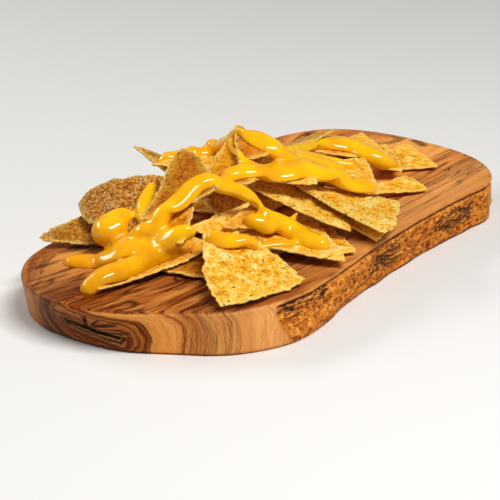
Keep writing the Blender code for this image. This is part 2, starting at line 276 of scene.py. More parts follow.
def soft_outline(columns, reach):
    """The rim at each height, with its points at even steps round it and its corners softened."""
    rim = reach[SAWN_LEVEL][:, None] * np.stack([np.cos(columns), np.sin(columns)], axis=1)
    closed = np.vstack([rim, rim[:1]])                               # back to its first point
    steps = np.concatenate([[0], np.cumsum(np.linalg.norm(np.diff(closed, axis=0), axis=1))])
    wanted = np.linspace(0, steps[-1], BOARD_COLUMNS, endpoint=False)
    turn = np.arctan2(*[np.interp(wanted, steps, closed[:, axis]) for axis in (1, 0)])
    outline = []
    for radii in reach:
        radius = np.interp(turn, columns, radii, period=2 * math.pi)
        outline.append([radius * np.cos(turn), radius * np.sin(turn)])
    outline = np.array(outline)                                      # level, axis, column
    for _ in range(BOARD_SOFTENING):
        outline = (np.roll(outline, 1, axis=2) + 2 * outline + np.roll(outline, -1, axis=2)) / 4
    return outline


def live_edge(spots, top):
    """Where the bark is, from 0 to 1, the relief that its colour follows, and how far it stands out."""
    x, y, z = np.moveaxis(spots, -1, 0)
    start = BARK_START + BARK_SLANT * (1 - z / top) ** 2 + BARK_ROUND * (z / top) ** 8
    bark = ease(start, start + 0.002, x) * (1 - ease(BARK_END, BARK_END + 0.006, x))
    bark *= ease(0.04, 0.05, -y)
    bark *= ease(BARK_LIP - 0.0006, BARK_LIP + 0.0004, top - z)
    flat = spots.reshape(-1, 3)

    def ridges(along, upright, shift):
        """Crests of raised fibre, so many to a metre along the edge and up it."""
        scaled = flat * (along, along, upright) + (0, 0, shift)
        return np.array([1 - 2.4 * abs(noise.noise(Vector(spot))) for spot in scaled]).reshape(x.shape)

    # Long fibres at the left end give way to knobs towards the right.
    knobbly = 0.7 * ease(-0.03, 0.03, x)
    fibre = 0.5 * ridges(38, 300, 2.0) + 0.35 * ridges(90, 620, 7.0) + 0.15 * ridges(300, 900, 4.0)
    knobs = 0.5 * ridges(110, 150, 9.0) + 0.3 * ridges(240, 320, 11.0) + 0.2 * ridges(520, 700, 13.0)
    relief = 0.7 * (fibre + (knobs - fibre) * knobbly) + 0.3 * ridges(330, 420, 15.0)
    groove = np.exp(-((top - z - BARK_LIP - GROOVE_BELOW_LIP) / GROOVE_WIDTH) ** 2)
    push = bark * (BARK_RISE * (relief - 0.45) * ease(0, BARK_FOOT, z) - GROOVE_DEPTH * groove)
    return bark, relief - 0.6 * groove, push


def board_mesh():
    """The CAD board again, with many more points, the bark's fine relief and the knot's cracks."""
    levels, columns, reach = board_levels()
    outline = soft_outline(columns, reach)
    rows = np.unique(np.concatenate([levels, np.arange(levels[1], levels[SAWN_LEVEL], BOARD_ROW)]))
    spots = np.empty((len(rows), BOARD_COLUMNS, 3))
    for column in range(BOARD_COLUMNS):
        for axis in (0, 1):
            spots[:, column, axis] = np.interp(rows, levels, outline[:, axis, column])
    spots[:, :, 2] = rows[:, None]

    # The bark stands out from the rim, and the cracks go into it.
    ahead = np.roll(spots, -1, axis=1) - np.roll(spots, 1, axis=1)
    outward = np.stack([ahead[..., 1], -ahead[..., 0], np.zeros_like(ahead[..., 0])], axis=-1)
    outward /= np.linalg.norm(outward, axis=-1, keepdims=True)
    bark, relief, push = live_edge(spots, levels[-1])
    crack = np.zeros(spots.shape[:2])
    for line in CRACKS:
        crack = np.maximum(crack, np.exp(-(line_distance(spots, *line) / CRACK_WIDTH) ** 2))
    spots = spots + outward * (push - CRACK_DEPTH * crack)[..., None]

    # The rows are joined round the rim, then the underside and the top close it.
    inner = spots[-1] * TOP_INSET
    points = np.vstack([spots.reshape(-1, 3), inner])
    count = BOARD_COLUMNS
    faces = []
    for row in range(len(rows)):
        for column in range(count):
            beside = (column + 1) % count
            faces.append((row * count + column, row * count + beside,
                          (row + 1) * count + beside, (row + 1) * count + column))
    faces.append(tuple(range(count - 1, -1, -1)))
    faces.append(tuple(len(rows) * count + column for column in range(count)))
    mesh = bpy.data.meshes.new("board")
    mesh.from_pydata(points.tolist(), [], faces)
    rest = np.zeros(count)
    set_values(mesh, "bark", np.concatenate([bark.ravel(), rest]))
    set_values(mesh, "relief", np.concatenate([relief.ravel(), rest]))
    return mesh


def torn_cracks(place):
    """1 inside the knot's cracks, whose sides are torn, and 0 outside them."""
    torn = place.noise(0.003, 2.0) * 0.0016
    gap = None
    for start, end in CRACKS:
        mask = 1 - (place.far_from(start, end) + torn - 0.0008).eased(0.0003, 0.0012)
        gap = mask if gap is None else gap.at_least(mask)
    return gap


def bark_skin(place, z):
    """The live edge's colour and height: flecked fibre, charred in patches, with its lip and groove,
    its hollows darker with painted shade and its knobs paler with painted highlight.
    """
    relief = place.attribute("relief")
    grit = place.noise(0.0010, 2.0, (3.0, 3.0, 0.8), 4.0)
    streak = place.noise(0.0030, 2.0, (5.0, 5.0, 0.5), 8.0)
    patch = place.noise(0.010, 2.0, (1.8, 1.8, 0.7), 6.0)
    knobs = place.noise(0.0021, 3.0, (1.3, 1.3, 0.9), 12.0, 0.65)
    # The colour follows the relief, darker in the hollows and paler on the ridges and knobs: partly the
    # bark's own tone, partly painted shade and painted highlight.
    rough = (relief * 0.36 + grit * 0.40 + streak * 0.25 + knobs * 0.30 - 0.20).colours(
        (0.16, colour(66, 22, 4)), (0.30, colour(158, 78, 20)), (0.46, colour(204, 118, 38)),
        (0.64, colour(230, 150, 58)), (0.82, colour(242, 184, 98)))
    rough = (knobs.eased(0.47, 0.37) * 0.70).blend(rough, colour(84, 36, 20))
    rough = (knobs.eased(0.56, 0.68) * 0.55).blend(rough, colour(250, 192, 96))
    char = (patch * 0.6 + grit * 0.2).eased(0.52, 0.58)
    for start, end in CHARRED:
        spot = place.far_from(start, end) + (patch - 0.5) * 0.014 + (grit - 0.5) * 0.012
        char = char.at_least(1 - spot.eased(0.0012, 0.0044))
    char = char * (0.25 + 0.75 * (grit + streak).eased(1.18, 0.92))
    rough = (char * 0.88).blend(rough, (grit + streak - 0.5).colours(
        (0.30, colour(26, 12, 6)), (0.70, colour(100, 66, 40))))
    lip = (1 - abs(z - 17.0).eased(0.3, 0.9)) * (1 - char)
    rough = (lip * 0.5).blend(rough, colour(222, 146, 66))
    groove = 1 - abs(z - 18.2).eased(0.2, 0.8)
    rough = (groove * 0.80).blend(rough, colour(100, 42, 14))
    return rough, grit * 1.6 + streak + knobs * 1.5


def olive_wood():
    """Growth rings round a flat heart that runs down into the slab from the knot at its left end."""
    material, shader, place = new_material("olive_wood", Roughness=0.42, Specular_IOR_Level=0.07)

    # All lengths here are in mm. ring is how far a place is from the heart, with the grain's waves.
    x, y, z = [part * 1000 for part in place.parts()]
    along = (x + 140).at_least(0)
    heart_y = 11 - 23 * (1 - (along * (-1 / 60)).exponential())
    heart_z = 12 - 10.5 * (1 - (along * (-1 / 100)).exponential())
    side = y - heart_y
    flat = (0 - side).at_least(0).at_most(26 * (along * (-1 / 45)).exponential())
    spread = 1 + 0.04 * along.at_most(45) * side.eased(0, 6)
    rise = z - heart_z + flat * (0.18 + 0.30 * z.eased(15, 21))
    ring = (((side + flat) / spread) ** 2 + rise ** 2) ** 0.5
    sway = (place.noise(0.045, 1.0, (1.8, 1, 1)) - 0.5) * 9 * ring.eased(8, 28)
    ripple = (place.noise(0.009, 2.0, (3, 1, 1), 1.0) - 0.5) * 2.4
    flame = (place.noise(0.005, 2.0, (1.6, 1, 1), 9.0) - 0.5) * 2.6 * (1 - along.eased(14, 40))
    top = z.eased(19.6, 20.8)
    ring = ring + sway + (ripple + flame) * (1 - top * 0.5)

    # The dark and light bands of the heart, from its middle outwards.
    lines = (ring * 0.001).with_axes(x * 0.00004, z * 0.00004)
    broad = lines.noise(0.0060, 1.0, shift=2.0)
    bold = lines.noise(0.0019, 1.5, shift=3.0)
    fine = lines.noise(0.0005, 2.0, shift=5.0)
    wood = ((ring + (broad - 0.5) * 3) / 64).colours(
        (0.00, colour(34, 8, 0)), (0.05, colour(88, 32, 4)), (0.10, colour(146, 66, 12)),
        (0.125, colour(92, 34, 4)), (0.145, colour(178, 90, 12)), (0.165, colour(96, 36, 6)),
        (0.182, colour(184, 98, 24)), (0.200, colour(92, 34, 10)), (0.216, colour(238, 152, 68)),
        (0.345, colour(242, 162, 78)), (0.385, colour(190, 104, 42)), (0.43, colour(222, 140, 64)),
        (0.48, colour(190, 108, 46)), (0.56, colour(222, 148, 78)), (1.00, colour(204, 132, 64)))

    # The top is darker and deeper orange towards the knot, and streaked there.
    rich = top * (1 - along.eased(70, 130)) * (1 - y.eased(14, 34) * 0.6)
    wood = (rich * 0.78).blend(wood, colour(134, 52, 0))
    strand = (x * 0.00006).with_axes((side + sway) * 0.001).noise(0.0024, 2.0, shift=6.0)
    strands = top * (1 - along.eased(80, 140) * 0.75)
    wood = (strand.eased(0.48, 0.39) * strands * 0.85).blend(wood, colour(72, 24, 2))
    wood = (strand.eased(0.56, 0.68) * strands * 0.45).blend(wood, colour(232, 148, 60))

    # Each year's line, fainter in the pale wood round the heart and far out, then the open pores.
    pale = ring.eased(13, 15) * (1 - ring.eased(21, 25)) * (1 - along.eased(30, 60)) * (1 - top)
    depth = (1 - 0.75 * ring.eased(38, 54)) * (1 - pale * 0.75)
    shade = (fine - 0.5) * 0.9 + (bold - 0.5) * 1.6
    wood = ((shade * -1).at_least(0) * 1.8 * depth).blend(wood, colour(78, 30, 4))
    wood = (shade.at_least(0) * 1.1 * depth).blend(wood, colour(236, 164, 80))
    line = (1 - abs(bold - 0.46).eased(0.0, 0.036)) * broad.eased(0.66, 0.42)
    thread = (1 - abs(fine - 0.5).eased(0.0, 0.05)) * broad.eased(0.40, 0.62) * (1 - top * 0.85)
    wood = (line.at_least(thread * 0.6) * 0.95 * depth).blend(wood, colour(52, 16, 2))
    pores = place.noise(0.0009, 2.0, (7, 0.7, 0.7), 2.0)
    wood = (pores.eased(0.52, 0.75) * 0.22).blend(wood, colour(110, 52, 16))

    # The left end is greyed and darkened with painted shade, as it is turned away from the light.
    # Its dark wedge and the pale sapwood beside the bark are the wood's own colour.
    painted_end_shade = (1 - along.eased(12, 56)) * y.eased(6, 24)
    wood = (painted_end_shade * 0.55).blend(wood, colour(112, 64, 34))
    sapwood = x.eased(-103, -92) * (1 - x.eased(-84, -78)) * (1 - y.eased(-58, -50)) * (1 - top)
    wood = (sapwood * (0.25 + 0.5 * fine.eased(0.42, 0.56))).blend(wood, colour(240, 168, 96))
    wedge = (1 - top) * y.eased(14, 19) * (1 - y.eased(27, 36)) * (1 - along.eased(10, 30))
    wood = (wedge * (0.35 + 0.4 * bold.eased(0.55, 0.45))).blend(wood, colour(62, 28, 12))

    # The knot: rays fan out over its dark core, and a small knot lies at the far end of the top.
    rays = (rise.angle_over(side + 8) * 0.009).with_axes(ring * 0.0001).noise(0.0011, 1.0)
    fan = ring.eased(1.0, 3.0) * (1 - ring.eased(6, 9)) * (1 - along.eased(6, 14)) * rise.eased(0, 2)
    wood = (rays.eased(0.50, 0.62) * fan * 0.75).blend(wood, colour(196, 112, 44))
    wood = (rays.eased(0.46, 0.36) * fan * 0.85).blend(wood, colour(40, 12, 2))
    core = 1 - place.far_from((-0.1375, 0.0113, 0.0111), (-0.133, 0.0113, 0.0111)).eased(0.0006, 0.0030)
    wood = (core * 0.85).blend(wood, colour(26, 8, 2))
    far_knot = 1 - place.far_from((0.137, 0.001, 0.021), (0.133, -0.006, 0.021)).eased(0.0008, 0.0042)
    wood = (far_knot * 0.8).blend(wood, colour(70, 40, 22))
    # The cracks are also cut into the mesh; their near-black inside is painted shade.
    gap = torn_cracks(place)
    wood = gap.blend(wood, colour(14, 3, 0))

    bark = place.attribute("bark")
    rough, coarse = bark_skin(place, z)
    wood = bark.blend(wood, rough)
    height = bold * 0.3 + pores * 0.25 + bark * coarse - gap * 2
    bump = place.node("Bump", {}, {"Strength": 0.35, "Distance": 0.0006, "Height": height})
    connect(shader, Base_Color=wood, Roughness=0.34 + bark * 0.3 + gap * 0.2 + fine * 0.12, Normal=bump)
    return material


add_piece("serving_board", board_mesh(), olive_wood(), "olive_wood", "board")


# ---------------------------------------------------------------- the tortilla chips
# Each chip is a thin corn tortilla cut in a triangle and fried. It is thinner at its rim, curled,
# blistered and pitted all over, golden with pale bubbles, and toasted darker in places.

CHIP_THICK = 0.0016
RIM_THIN = 0.0009
RIM_ROUND = 0.0003
RIM_REACH = 0.0018
RAGGED = 0.0017
RAGGED_REACH = 0.0020
PALE_REACH = 0.0010
WAVE_RISE = 0.0005
BLISTER_RISE = 0.0020
UNDER_BLISTER_RISE = 0.0016
PIT_DEPTH = 0.00026
UNDER_PIT_DEPTH = 0.00016
RIM_CREASE = 0.4
CORNER_CREASE = 0.8
FOLD_ANGLE = math.radians(50)
FINE_CHIPS = ("chip_front", "chip_arched", "chip_front_right", "chip_bright", "chip_low_left",
              "chip_far_left", "chip_tall", "chip_long", "chip_rimmed")

# Where a chip's rim bulges or is chipped: a place, how far the change reaches, and how far it goes.
CHIP_GROWTH = {
    "chip_front": (((-0.0680, -0.0400, 0.0325), 0.0150, 0.0065),
                   ((-0.0612, -0.0600, 0.0250), 0.0014, -0.0022),
                   ((-0.0960, -0.0380, 0.0285), 0.0140, 0.0034),
                   ((-0.0690, -0.0240, 0.0370), 0.0120, 0.0040)),
    "chip_sauced": (((-0.0180, -0.0200, 0.0468), 0.0120, 0.0016),
                    ((-0.0100, -0.0320, 0.0465), 0.0100, 0.0010)),
    "chip_tall": (((-0.0520, 0.0080, 0.0580), 0.0090, 0.0060),),
    "chip_far_left": (((-0.0969, 0.0612, 0.0267), 0.0032, -0.0030),
                      ((-0.0935, 0.0560, 0.0275), 0.0030, 0.0012)),
    "chip_arched": (((-0.0700, 0.0480, 0.0340), 0.0120, 0.0040),
                    ((-0.0600, 0.0560, 0.0400), 0.0080, 0.0020)),
}

# Where a chip is twisted: a place, how far the twist reaches, and how much higher it gets along X and Y.
CHIP_TWIST = {
    "chip_back_left": ((-0.0190, 0.0530, 0.0460), 0.0200, (0.30, 0.21, 0)),
    "chip_stray": ((0.0560, 0.0140, 0.0390), 0.0240, (0.24, 0.17, 0)),
}


def upper_sheet(node):
    """The upper face of a chip's solid as an open sheet, with its corners marked to stay."""
    sheet = bmesh.new()
    sheet.from_mesh(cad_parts[node].data)
    bmesh.ops.remove_doubles(sheet, verts=sheet.verts[:], dist=1e-6)
    sheet.normal_update()

    # Faces that meet without a sharp fold are one patch. The patch that faces up the most is kept.
    left = set(sheet.faces)
    upper, most = [], 0
    while left:
        patch = [left.pop()]
        for face in patch:
            for edge in face.edges:
                if edge.calc_face_angle(math.pi) < FOLD_ANGLE:
                    beside = [other for other in edge.link_faces if other in left]
                    left.difference_update(beside)
                    patch.extend(beside)
        lift = sum(face.normal.z * face.calc_area() for face in patch)
        if lift > most:
            upper, most = patch, lift
    keep = set(upper)
    bmesh.ops.delete(sheet, geom=[face for face in sheet.faces if face not in keep], context="FACES")
    crease = sheet.verts.layers.float.new("crease_vert")
    for vertex in sheet.verts:
        if vertex.is_boundary:
            vertex[crease] = CORNER_CREASE if len(vertex.link_faces) == 1 else RIM_CREASE
    mesh = bpy.data.meshes.new(node)
    sheet.to_mesh(mesh)
    sheet.free()
    return mesh


def modified(mesh, *modifiers):
    """The same mesh after its modifiers, each a kind and its settings."""
    holder = bpy.data.objects.new("holder", mesh)
    bpy.context.scene.collection.objects.link(holder)
    for kind, settings in modifiers:
        modifier = holder.modifiers.new(kind, kind)
        for name, value in settings.items():
            setattr(modifier, name, value)
    shown = holder.evaluated_get(bpy.context.evaluated_depsgraph_get())
    result = bpy.data.meshes.new_from_object(shown)
    bpy.data.objects.remove(holder)
    return result


def round_the_rim(sheet):
    """For each point on a sheet's open rim, the next one round it."""
    uses = Counter(edge for face in sheet.polygons for edge in face.edge_keys)
    following = {}
    for face in sheet.polygons:
        ring = list(face.vertices)
        for here, beyond in zip(ring, ring[1:] + ring[:1]):
            if uses[(min(here, beyond), max(here, beyond))] == 1:
                following[here] = beyond
    return following


def chip_mesh(node, number):
    """A chip with blisters, pits and a thin ragged rim, on the curl of its solid."""
    levels = 4 if node in FINE_CHIPS else 3
    fine = modified(upper_sheet(node), ("SUBSURF", {"levels": levels, "render_levels": levels}))
    fine.update()
    spots = np.array([vertex.co for vertex in fine.vertices])
    normals = np.array([vertex.normal for vertex in fine.vertices])
    following = round_the_rim(fine)
    rim = list(following)

    # How far each point is from the rim, and the way out to it along the sheet.
    away = np.min(np.linalg.norm(spots[:, None] - spots[rim][None], axis=2), axis=1)
    centre = spots.mean(axis=0)
    outward = spots - centre
    outward -= normals * np.sum(outward * normals, axis=1, keepdims=True)
    outward /= np.linalg.norm(outward, axis=1, keepdims=True) + 1e-9
    seed = Vector((number * 3.7, number * 1.9, 0))

    def noise_at(scale, shift):
        """Soft random values at the chip's points, with so many lumps to a metre."""
        moved = seed + Vector((0, 0, shift))
        return np.array([noise.noise(Vector(spot) * scale + moved) for spot in spots])

    def near(place, reach):
        """1 at a place on the chip, fading to 0 around it."""
        return np.exp(-(np.linalg.norm(spots - place, axis=1) / reach) ** 2)

    # The rim is ragged, bulged and chipped, and the sheet may be twisted.
    ragged = 0.6 * noise_at(210, 1) + 0.5 * noise_at(540, 2)
    growth = RAGGED * ragged * np.exp(-away / RAGGED_REACH)
    for place, reach, push in CHIP_GROWTH.get(node, ()):
        growth += push * near(place, reach)
    spots = spots + outward * growth[:, None]
    if node in CHIP_TWIST:
        place, reach, slope = CHIP_TWIST[node]
        spots[:, 2] += (spots - place) @ slope * near(place, reach)

    # Both faces follow the waves. Blisters rise from the upper one and hang from the lower one.
    wave = noise_at(75, 3)
    bubble = np.clip(noise_at(170, 4) - 0.18, 0, 1)
    pit = noise_at(700, 5)
    under_bubble = np.clip(noise_at(150, 6) - 0.2, 0, 1)
    inside = 1 - np.exp(-away / RIM_REACH)
    above = inside * (WAVE_RISE * wave + BLISTER_RISE * bubble) + PIT_DEPTH * pit
    below = inside * (WAVE_RISE * wave - UNDER_BLISTER_RISE * under_bubble)
    below -= UNDER_PIT_DEPTH * noise_at(700, 7)
    thick = RIM_THIN + (CHIP_THICK - RIM_THIN) * inside
    upper = spots + normals * above[:, None]
    lower = spots + normals * (below - thick)[:, None]
    middle = 0.5 * (upper + lower)[rim] + outward[rim] * RIM_ROUND

    # The faces are joined round the rim through a row of points that stands out a little.
    count = len(spots)
    outer = {here: 2 * count + index for index, here in enumerate(rim)}
    faces = [tuple(face.vertices) for face in fine.polygons]
    faces += [tuple(corner + count for corner in reversed(face)) for face in faces]
    for here, beyond in following.items():
        faces.append((beyond, here, outer[here], outer[beyond]))
        faces.append((outer[beyond], outer[here], here + count, beyond + count))
    mesh = bpy.data.meshes.new(node)
    mesh.from_pydata(np.vstack([upper, lower, middle]).tolist(), [], faces)
    # How near the rim each point is, for the pale band there: partly the thin edge's own colour, partly
    # painted highlight.
    edge = np.exp(-away / PALE_REACH)
    set_values(mesh, "rim", np.concatenate([edge, edge, np.ones(len(rim))]))
    blisters = [1.6 * rise + 0.5 * pit for rise in (bubble, under_bubble)]
    set_values(mesh, "blister", np.concatenate([*blisters, np.zeros(len(rim))]))
    return mesh


def tortilla(name, toast_and_painted_light, specks, pitted, stain_and_painted_shade):
    """Fried corn: golden with cream bubbles and rims, small pits, dark specks and toasted patches.
    Its rises and rims are paler, partly with painted highlight, and its dents darker with painted shade.
    """
    material, shader, place = new_material(name, Roughness=0.55, Specular_IOR_Level=0.13)
    rim = place.attribute("rim")
    blister = place.attribute("blister")
    patch = place.noise(0.013, 2.0, shift=1.0, roughness=0.6)
    blotch = place.noise(0.0050, 2.0, shift=4.0, roughness=0.6)
    mottle = place.noise(0.0018, 2.0, shift=2.0, roughness=0.65)
    grain = place.noise(0.0008, 1.0, shift=3.0)
    # The tone rises with the blisters and mottle that also lift the surface: partly the chip's own pale
    # bubbles, partly painted highlight.
    tone = patch * 0.55 + blotch * 0.75 + mottle * 0.60 + grain * 0.45 + blister * 0.35 - 0.675 - toast_and_painted_light
    base = tone.colours(
        (0.18, colour(180, 106, 6)), (0.30, colour(216, 142, 10)), (0.41, colour(242, 168, 18)),
        (0.50, colour(252, 186, 42)), (0.60, colour(255, 206, 84)), (0.74, colour(255, 226, 142)))
    cells = {"Vector": place, "Scale": 520.0, "Randomness": 1.0}
    chance = place.node("TexVoronoi", {}, cells, out="Color").parts()[0]
    hole = 1 - (place.node("TexVoronoi", {}, cells) + (grain - 0.5) * 0.5).eased(0.10, 0.36)
    speck = hole * chance.eased(1 - specks, 1.02 - specks)
    # Dents are painted darker, as painted shade in the pits, and crests paler, as painted highlight; both
    # also shape the bumps.
    dents = place.noise(0.0013, 2.0, shift=7.0, roughness=0.7)
    dent_and_shade = dents.eased(0.50, 0.41) * pitted
    crest = dents.eased(0.54, 0.64) * pitted
    base = (dent_and_shade * 0.80).blend(base, colour(128, 70, 40))
    base = (crest * 0.45).blend(base, colour(255, 232, 170))
    # A colour multiplied in: partly the chip's own stain and partly painted shade.
    base = base.node("Mix", {"data_type": "RGBA", "blend_type": "MULTIPLY"},
                     {0: 1 - rim * 0.6, 6: base, 7: stain_and_painted_shade}, out=2)
    # The rim is paler: partly the thin edge's own colour and partly a painted highlight along it.
    base = (rim * 0.6).blend(base, colour(252, 216, 116))
    base = (speck * 0.85).blend(base, colour(70, 32, 16))
    height = mottle * 0.9 + grain * 0.5 - speck * 0.9 - dent_and_shade * 0.9 + crest * 0.4
    bump = place.node("Bump", {}, {"Strength": 1.0, "Distance": 0.0009, "Height": height})
    connect(shader, Base_Color=base, Normal=bump, Roughness=0.45 + grain * 0.25)
    return material


# How each chip is fried and lit: how much darker it is toasted, with chip_long lightened by painted light
# as it lies in shade;
# its share of dark specks; how pitted; and a colour multiplied in, partly its own stain and partly painted
# shade, as on chip_arched, whose face is turned from the light.
PLAIN = (0.0, 0.08, 0.0, colour(246, 236, 220))
CHIP_LOOKS = {
    "chip_arched": (0.0, 0.10, 1.0, colour(224, 194, 180)),
    "chip_far_left": (0.0, 0.10, 0.7, colour(204, 170, 124)),
    "chip_tall": (-0.02, 0.16, 0.30, colour(192, 152, 6)),
    "chip_face": (0.0, 0.10, 0.3, colour(224, 184, 50)),
    "chip_peak": (0.03, 0.10, 0.2, colour(210, 160, 50)),
    "chip_rimmed": (0.0, 0.12, 0.2, colour(232, 200, 110)),
    "chip_low_left": (-0.03, 0.12, 0.1, colour(232, 206, 124)),
    "chip_back_left": (0.02, 0.10, 0.5, colour(214, 196, 190)),
    "chip_stray": (0.02, 0.10, 0.4, colour(214, 194, 180)),
    "chip_hollow": (0.05, 0.10, 0.2, colour(214, 170, 110)),
    "chip_slim": (0.02, 0.12, 0.1, colour(228, 204, 150)),
    "chip_shadowed": (0.05, 0.12, 0.2, colour(214, 180, 120)),
    "chip_long": (-0.08, 0.16, 0.3, colour(255, 246, 200)),
    "chip_bright": (-0.07, 0.26, 0.3, colour(255, 252, 230)),
    "chip_front": (-0.02, 0.10, 0.25, colour(255, 252, 244)),
    "chip_front_right": (-0.02, 0.10, 0.2, colour(255, 250, 236)),
}
chip_nodes = sorted(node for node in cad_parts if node.startswith("chip_"))
for number, node in enumerate(chip_nodes):
    name = "tortilla_" + node
    add_piece(name, chip_mesh(node, number), tortilla(name, *CHIP_LOOKS.get(node, PLAIN)), "tortilla", node)


# ---------------------------------------------------------------- the cheese sauce
# The sauce is melted cheese, poured warm over the heap. It runs in thick soft ropes, joins where
# they meet, and ends in rounded drops. It is opaque, smooth and glossy.

# The sauce is made a little too thick, smoothed, and drawn in again by the same amount.
SAUCE_VOXEL = 0.00056
SAUCE_SWELL = 0.0006
SAUCE_SMOOTHING = 15
SAUCE_EVENING = 6

# A run sinks a little into what it lies on. It looks for that from just above its points to just
# below them, and it hangs where nothing is near.
SAUCE_SINK = 0.0009
BEADS_A_STEP = 6
LOOK_FROM = 0.0022
LOOK_THROUGH = 0.0042
HANGS_AT = 0.004
LEAN = 0.7
TALLEST = 1.8
HANGING_FOOT = 0.55
RUN_EVENING = 16
GAP_EVENING = 6

